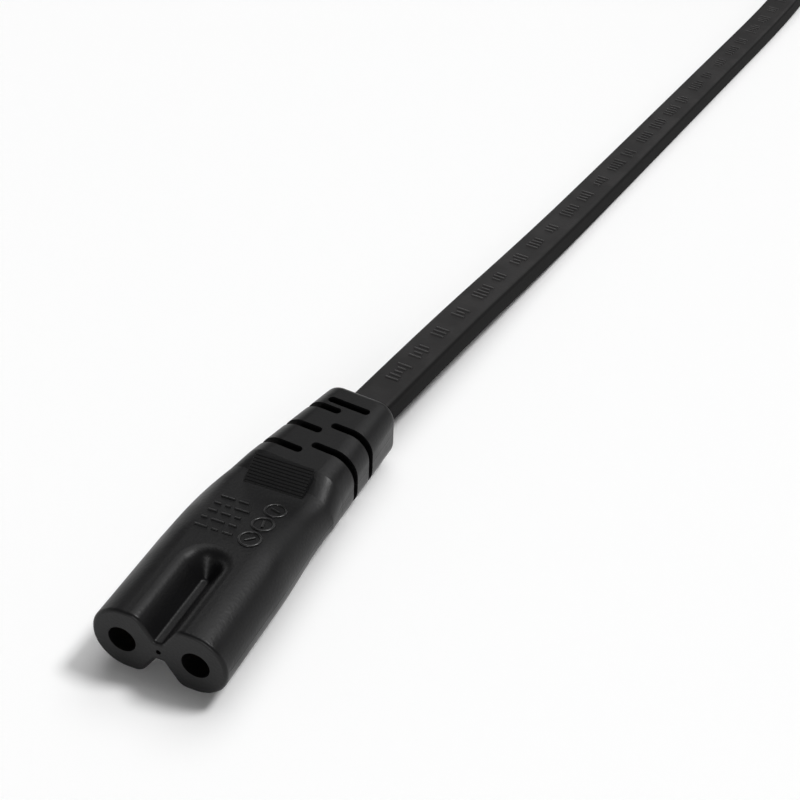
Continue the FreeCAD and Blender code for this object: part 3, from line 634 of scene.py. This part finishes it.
def noise(tree, where, scale, detail):
    """A noise over a place, at a scale that a socket gives."""
    texture = node(tree, "ShaderNodeTexNoise")
    texture.inputs["Detail"].default_value = detail
    tree.links.new(where, texture.inputs["Vector"])
    tree.links.new(scale, texture.inputs["Scale"])
    return texture.outputs["Fac"]


def moulded_skin_group():
    """Moulded plastic: a fine grain and slow patches where the skin is glossier."""
    tree, given, leave = shader_group("moulded_skin", [("Grain Scale", 3000.0), ("Patch Scale", 160.0)],
                                      ["Grain", "Patch"])
    where = node(tree, "ShaderNodeTexCoord").outputs["Object"]
    tree.links.new(noise(tree, where, given.outputs["Grain Scale"], detail=3), leave.inputs["Grain"])
    patch = noise(tree, where, given.outputs["Patch Scale"], detail=2)
    tree.links.new(remap(tree, patch, *PATCH_EDGES, 0.0, 1.0), leave.inputs["Patch"])
    return tree


def parting_line_group():
    """The thin line where the two halves of the mould met, level round the piece."""
    tree, given, leave = shader_group("parting_line", [
        ("Height", 0.005),
        ("Width", 0.0001),
        ("From", -1.0),
        ("To", 1.0),
    ], ["Line"])
    where = node(tree, "ShaderNodeTexCoord").outputs["Object"]
    parts = node(tree, "ShaderNodeSeparateXYZ")
    above = node(tree, "ShaderNodeMath", operation="SUBTRACT")
    away = node(tree, "ShaderNodeMath", operation="ABSOLUTE")
    share = node(tree, "ShaderNodeMath", operation="DIVIDE")
    tree.links.new(where, parts.inputs["Vector"])
    tree.links.new(parts.outputs["Z"], above.inputs[0])
    tree.links.new(given.outputs["Height"], above.inputs[1])
    tree.links.new(above.outputs["Value"], away.inputs[0])
    tree.links.new(away.outputs["Value"], share.inputs[0])
    tree.links.new(given.outputs["Width"], share.inputs[1])
    after = node(tree, "ShaderNodeMath", operation="GREATER_THAN")
    before = node(tree, "ShaderNodeMath", operation="LESS_THAN")
    both = node(tree, "ShaderNodeMath", operation="MULTIPLY")
    kept = node(tree, "ShaderNodeMath", operation="MULTIPLY")
    tree.links.new(parts.outputs["Y"], after.inputs[0])
    tree.links.new(given.outputs["From"], after.inputs[1])
    tree.links.new(parts.outputs["Y"], before.inputs[0])
    tree.links.new(given.outputs["To"], before.inputs[1])
    tree.links.new(after.outputs["Value"], both.inputs[0])
    tree.links.new(before.outputs["Value"], both.inputs[1])
    tree.links.new(remap(tree, share.outputs["Value"], 0.0, 1.0, 1.0, 0.0), kept.inputs[0])
    tree.links.new(both.outputs["Value"], kept.inputs[1])
    tree.links.new(kept.outputs["Value"], leave.inputs["Line"])
    return tree


def extruded_skin_group():
    """Extruded jacket: faint lines along the cord, slow patches, and a mask of its narrow sides, which
    carry painted shade.
    """
    SIDE_FROM = 0.84
    tree, given, leave = shader_group("extruded_skin", [
        ("Line Scale", 900.0),
        ("Patch Scale", 180.0),
        ("Stretch", 0.02),
        ("Half Width", 0.0026),
    ], ["Lines", "Patch", "Side"])
    lay = node(tree, "ShaderNodeAttribute", attribute_name="cord_lay").outputs["Vector"]
    parts = node(tree, "ShaderNodeSeparateXYZ")
    shorten = node(tree, "ShaderNodeMath", operation="MULTIPLY")
    whole = node(tree, "ShaderNodeCombineXYZ")
    tree.links.new(lay, parts.inputs["Vector"])
    tree.links.new(parts.outputs["Z"], shorten.inputs[0])
    tree.links.new(given.outputs["Stretch"], shorten.inputs[1])
    tree.links.new(parts.outputs["X"], whole.inputs["X"])
    tree.links.new(parts.outputs["Y"], whole.inputs["Y"])
    tree.links.new(shorten.outputs["Value"], whole.inputs["Z"])
    lines = noise(tree, whole.outputs["Vector"], given.outputs["Line Scale"], detail=2)
    tree.links.new(lines, leave.inputs["Lines"])
    patch = noise(tree, lay, given.outputs["Patch Scale"], detail=2)
    tree.links.new(remap(tree, patch, *PATCH_EDGES, 0.0, 1.0), leave.inputs["Patch"])
    away = node(tree, "ShaderNodeMath", operation="ABSOLUTE")
    share = node(tree, "ShaderNodeMath", operation="DIVIDE")
    tree.links.new(parts.outputs["X"], away.inputs[0])
    tree.links.new(away.outputs["Value"], share.inputs[0])
    tree.links.new(given.outputs["Half Width"], share.inputs[1])
    tree.links.new(remap(tree, share.outputs["Value"], SIDE_FROM, 1.0, 0.0, 1.0), leave.inputs["Side"])
    return tree


def drawn_metal_group():
    """Drawn metal: fine streaks along the lead and slow tarnish."""
    DRAWN_OUT = (1.0, 0.04, 1.0)
    tree, given, leave = shader_group("drawn_metal", [("Streak Scale", 2500.0), ("Tarnish Scale", 400.0)],
                                      ["Streaks", "Tarnish"])
    where = node(tree, "ShaderNodeTexCoord").outputs["Object"]
    along = node(tree, "ShaderNodeMapping")
    along.inputs["Scale"].default_value = DRAWN_OUT
    tree.links.new(where, along.inputs["Vector"])
    streaks = noise(tree, along.outputs["Vector"], given.outputs["Streak Scale"], detail=2)
    tree.links.new(streaks, leave.inputs["Streaks"])
    tarnish = noise(tree, where, given.outputs["Tarnish Scale"], detail=3)
    tree.links.new(remap(tree, tarnish, *TARNISH_EDGES, 0.0, 1.0), leave.inputs["Tarnish"])
    return tree


def new_material(name):
    """A new material, its tree and its surface."""
    material = bpy.data.materials.new(name)
    material.use_nodes = True
    tree = material.node_tree
    return material, tree, tree.nodes["Principled BSDF"]


def place_group(tree, group, **values):
    """A shader group in a material, with the values that differ from its own."""
    made = node(tree, "ShaderNodeGroup", node_tree=group)
    for label, value in values.items():
        made.inputs[label.replace("_", " ")].default_value = value
    return made


def shade(tree, mask, low, high):
    """A colour between two tones, by a mask. The low tone may be another shade's colour."""
    mixer = node(tree, "ShaderNodeMix", data_type="RGBA")
    ends = [socket for socket in mixer.inputs if socket.type == "RGBA"]
    if isinstance(low, tuple):
        ends[0].default_value = (*low, 1)
    else:
        tree.links.new(low, ends[0])
    ends[1].default_value = (*high, 1)
    tree.links.new(mask, mixer.inputs["Factor"])
    return first_output(mixer)


def raise_skin(tree, surface, height, distance, strength):
    """Relief too fine for the mesh, from a height."""
    bump = node(tree, "ShaderNodeBump")
    bump.inputs["Strength"].default_value = strength
    bump.inputs["Distance"].default_value = distance
    tree.links.new(height, bump.inputs["Height"])
    tree.links.new(bump.outputs["Normal"], surface.inputs["Normal"])


def moulded(name, skin, low, high, rough, gleam, grain_scale, line=None, split=None):
    """Moulded plastic in two close tones, with a parting line round the given box, if any."""
    FACE_CLEAR = 0.8 * MM
    LINE_WIDTH = 0.09 * MM
    GRAIN_DEPTH = 0.04 * MM
    GRAIN_STRENGTH = 0.6
    material, tree, surface = new_material(name)
    surface.inputs["Specular IOR Level"].default_value = gleam
    made = place_group(tree, skin, Grain_Scale=grain_scale)
    tree.links.new(shade(tree, made.outputs["Patch"], low, high), surface.inputs["Base Color"])
    tree.links.new(remap(tree, made.outputs["Patch"], 0.0, 1.0, *rough), surface.inputs["Roughness"])
    height = made.outputs["Grain"]
    if line:
        lowest, highest = split
        seam = place_group(tree, line, Height=(lowest.z + highest.z) / 2, Width=LINE_WIDTH,
                           From=lowest.y + FACE_CLEAR, To=highest.y - FACE_CLEAR)
        total = node(tree, "ShaderNodeMath", operation="ADD")
        tree.links.new(height, total.inputs[0])
        tree.links.new(seam.outputs["Line"], total.inputs[1])
        height = total.outputs["Value"]
    raise_skin(tree, surface, height, GRAIN_DEPTH, GRAIN_STRENGTH)
    return material


def extruded(name, jacket, skin, low, high, side, rough, gleam):
    """Extruded cord jacket in two close tones, with painted shade on its narrow sides, which are darker and
    duller.
    """
    GRAIN_SCALE = 2000.0
    SKIN_DEPTH = 0.04 * MM
    SKIN_STRENGTH = 0.6
    SIDE_ROUGH = 0.85
    material, tree, surface = new_material(name)
    surface.inputs["Specular IOR Level"].default_value = gleam
    made = place_group(tree, jacket)
    grain = place_group(tree, skin, Grain_Scale=GRAIN_SCALE)
    wide_face = shade(tree, made.outputs["Patch"], low, high)
    # The narrow sides take the darker side colour: painted shade.
    tree.links.new(shade(tree, made.outputs["Side"], wide_face, side), surface.inputs["Base Color"])
    gloss = node(tree, "ShaderNodeMath", operation="MAXIMUM")
    tree.links.new(remap(tree, made.outputs["Patch"], 0.0, 1.0, *rough), gloss.inputs[0])
    tree.links.new(remap(tree, made.outputs["Side"], 0.0, 1.0, 0.0, SIDE_ROUGH), gloss.inputs[1])
    tree.links.new(gloss.outputs["Value"], surface.inputs["Roughness"])
    height = node(tree, "ShaderNodeMath", operation="ADD")
    tree.links.new(made.outputs["Lines"], height.inputs[0])
    tree.links.new(grain.outputs["Grain"], height.inputs[1])
    raise_skin(tree, surface, height.outputs["Value"], SKIN_DEPTH, SKIN_STRENGTH)
    return material


def drawn(name, skin, bright, dull, rough):
    """Bare metal with streaks and tarnish."""
    STREAK_DEPTH = 0.004 * MM
    STREAK_STRENGTH = 0.5
    material, tree, surface = new_material(name)
    surface.inputs["Metallic"].default_value = 1.0
    made = place_group(tree, skin)
    tree.links.new(shade(tree, made.outputs["Tarnish"], bright, dull), surface.inputs["Base Color"])
    tree.links.new(remap(tree, made.outputs["Streaks"], *STREAK_EDGES, *rough), surface.inputs["Roughness"])
    raise_skin(tree, surface, made.outputs["Streaks"], STREAK_DEPTH, STREAK_STRENGTH)
    return material


def wear(material, *names):
    """Gives solids their finish."""
    for name in names:
        slots = NODES[name].data.materials
        slots.clear()
        slots.append(material)


# Studio

FLOOR_REACH = 150.0
FLOOR_WHITE = 0.98
FLOOR_ROUGH = 0.8
SKY_LIGHT = 0.11


def floor():
    """The white surface that the lead lies on, out to the horizon."""
    mesh = bpy.data.meshes.new("floor")
    corners = [(x * FLOOR_REACH, y * FLOOR_REACH, 0) for x, y in ((-1, -1), (1, -1), (1, 1), (-1, 1))]
    mesh.from_pydata(corners, [], [(0, 1, 2, 3)])
    ground = stand("floor", mesh)
    material, tree, surface = new_material("white_floor")
    surface.inputs["Base Color"].default_value = (FLOOR_WHITE, FLOOR_WHITE, FLOOR_WHITE, 1)
    surface.inputs["Roughness"].default_value = FLOOR_ROUGH
    mesh.materials.append(material)


def sky():
    """A dim even sky, which is white down at the horizon where it is seen or mirrored."""
    WHITE_UP_TO, DIM_FROM = 0.25, 0.3
    world = bpy.data.worlds.new("studio")
    world.use_nodes = True
    tree = world.node_tree
    background = tree.nodes["Background"]
    background.inputs["Color"].default_value = (1, 1, 1, 1)
    way = node(tree, "ShaderNodeSeparateXYZ")
    tree.links.new(node(tree, "ShaderNodeTexCoord").outputs["Generated"], way.inputs["Vector"])
    backdrop = remap(tree, way.outputs["Z"], WHITE_UP_TO, DIM_FROM, 1.0, SKY_LIGHT)
    ray = node(tree, "ShaderNodeLightPath")
    through = node(tree, "ShaderNodeMath", operation="MAXIMUM")
    shown = node(tree, "ShaderNodeMath", operation="MAXIMUM")
    tree.links.new(ray.outputs["Is Glossy Ray"], through.inputs[0])
    tree.links.new(ray.outputs["Is Transmission Ray"], through.inputs[1])
    tree.links.new(ray.outputs["Is Camera Ray"], shown.inputs[0])
    tree.links.new(through.outputs["Value"], shown.inputs[1])
    strength = node(tree, "ShaderNodeMix", data_type="FLOAT")
    ends = {socket.name: socket for socket in strength.inputs if socket.enabled}
    ends["A"].default_value = SKY_LIGHT
    tree.links.new(shown.outputs["Value"], ends["Factor"])
    tree.links.new(backdrop, ends["B"])
    tree.links.new(first_output(strength), background.inputs["Strength"])
    bpy.context.scene.world = world


def lamp(name, toward, degrees_wide, strength):
    """A soft lamp far away: the way to it, how wide it looks, and its light on what faces it."""
    data = bpy.data.lights.new(name, "SUN")
    data.angle = math.radians(degrees_wide)
    data.energy = strength
    light = bpy.data.objects.new(name, data)
    light.matrix_world = Vector(toward).to_track_quat("Z", "Y").to_matrix().to_4x4()
    bpy.context.scene.collection.objects.link(light)


def studio():
    """A white floor under soft light from above, with a weaker lamp low in front of the mating face."""
    floor()
    sky()
    lamp("key", toward=(1.5, 1.05, 3.0), degrees_wide=14.6, strength=1.77)
    lamp("softbox", toward=(0.0, 1.25, 2.8), degrees_wide=52.0, strength=1.19)
    lamp("front", toward=(0.3, -2.42, 0.75), degrees_wide=17.8, strength=0.72)
    bpy.context.scene.view_settings.view_transform = "Standard"


photo_camera()
studio()

skin = moulded_skin_group()
seam = parting_line_group()
jacket = extruded_skin_group()
metal = drawn_metal_group()
body_tones = (0.0028, 0.0028, 0.0031), (0.0040, 0.0039, 0.0042)
pvc = moulded("connector_pvc", skin, *body_tones, rough=(0.45, 0.37), gleam=0.23, grain_scale=2900.0,
              line=seam, split=(BODY_LOW, BODY_HIGH))
plug_pvc = moulded("plug_pvc", skin, *body_tones, rough=(0.45, 0.37), gleam=0.23, grain_scale=2900.0,
                   line=seam, split=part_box("plug_overmould"))
# The raised marks are of the body's plastic; their lighter tones are a painted highlight for glints, beside
# a glossier finish.
marks_painted_glint_pvc = moulded("marks_painted_glint_pvc", skin, (0.0050, 0.0050, 0.0053), (0.0080, 0.0078, 0.0081),
                    rough=(0.32, 0.25), gleam=0.5, grain_scale=2600.0)
# The side colour is painted shade on the cord's narrow sides.
cord_pvc = extruded("cord_pvc", jacket, skin, (0.0186, 0.0179, 0.0180), (0.0234, 0.0224, 0.0225),
                    side=(0.0045, 0.0043, 0.0042), rough=(0.6, 0.5), gleam=0.14)
# The raised strokes are of the cord's plastic; their lighter tones are a painted highlight.
embossing_painted_highlight_pvc = moulded("embossing_painted_highlight_pvc", skin, (0.026, 0.025, 0.025), (0.040, 0.038, 0.038),
                       rough=(0.42, 0.34), gleam=0.4, grain_scale=2600.0)
carrier_plastic = moulded("carrier_plastic", skin, (0.010, 0.010, 0.011), (0.014, 0.014, 0.015),
                          rough=(0.5, 0.42), gleam=0.4, grain_scale=2200.0)
core_brown = moulded("core_brown", skin, (0.070, 0.026, 0.012), (0.090, 0.034, 0.016),
                     rough=(0.42, 0.34), gleam=0.4, grain_scale=2600.0)
core_blue = moulded("core_blue", skin, (0.012, 0.060, 0.250), (0.018, 0.080, 0.300),
                    rough=(0.42, 0.34), gleam=0.4, grain_scale=2600.0)
band_film = moulded("band_film", skin, (0.006, 0.006, 0.0065), (0.009, 0.009, 0.0095),
                    rough=(0.5, 0.42), gleam=0.35, grain_scale=1500.0)
black_sleeve = moulded("black_sleeve", skin, (0.008, 0.008, 0.009), (0.011, 0.011, 0.012),
                       rough=(0.32, 0.25), gleam=0.45, grain_scale=2400.0)
brass = drawn("brass", metal, (0.62, 0.42, 0.16), (0.34, 0.21, 0.08), rough=(0.30, 0.44))
copper = drawn("copper", metal, (0.80, 0.38, 0.22), (0.46, 0.20, 0.11), rough=(0.28, 0.42))
plated_pin = drawn("plated_pin", metal, (0.74, 0.72, 0.68), (0.56, 0.54, 0.50), rough=(0.16, 0.28))

wear(pvc, "connector_overmould")
wear(plug_pvc, "plug_overmould")
wear(carrier_plastic, "contact_carrier", "plug_bridge")
wear(brass, "contact_left", "contact_right")
wear(copper, "wire_left", "wire_right", "plug_wire_left", "plug_wire_right")
wear(core_brown, "core_left", "plug_core_left")
wear(core_blue, "core_right", "plug_core_right")
wear(band_film, "cord_band")
wear(black_sleeve, "sleeve_left", "sleeve_right")
wear(plated_pin, "pin_left", "pin_right")

line = smooth_line(cord_route(), "cord_guide")
stations = cord_stations(line)
cord = lay_cord(stations)
cord.data.materials.append(cord_pvc)
body_marks(marks_painted_glint_pvc)
cord_marks(stations, embossing_painted_highlight_pvc)
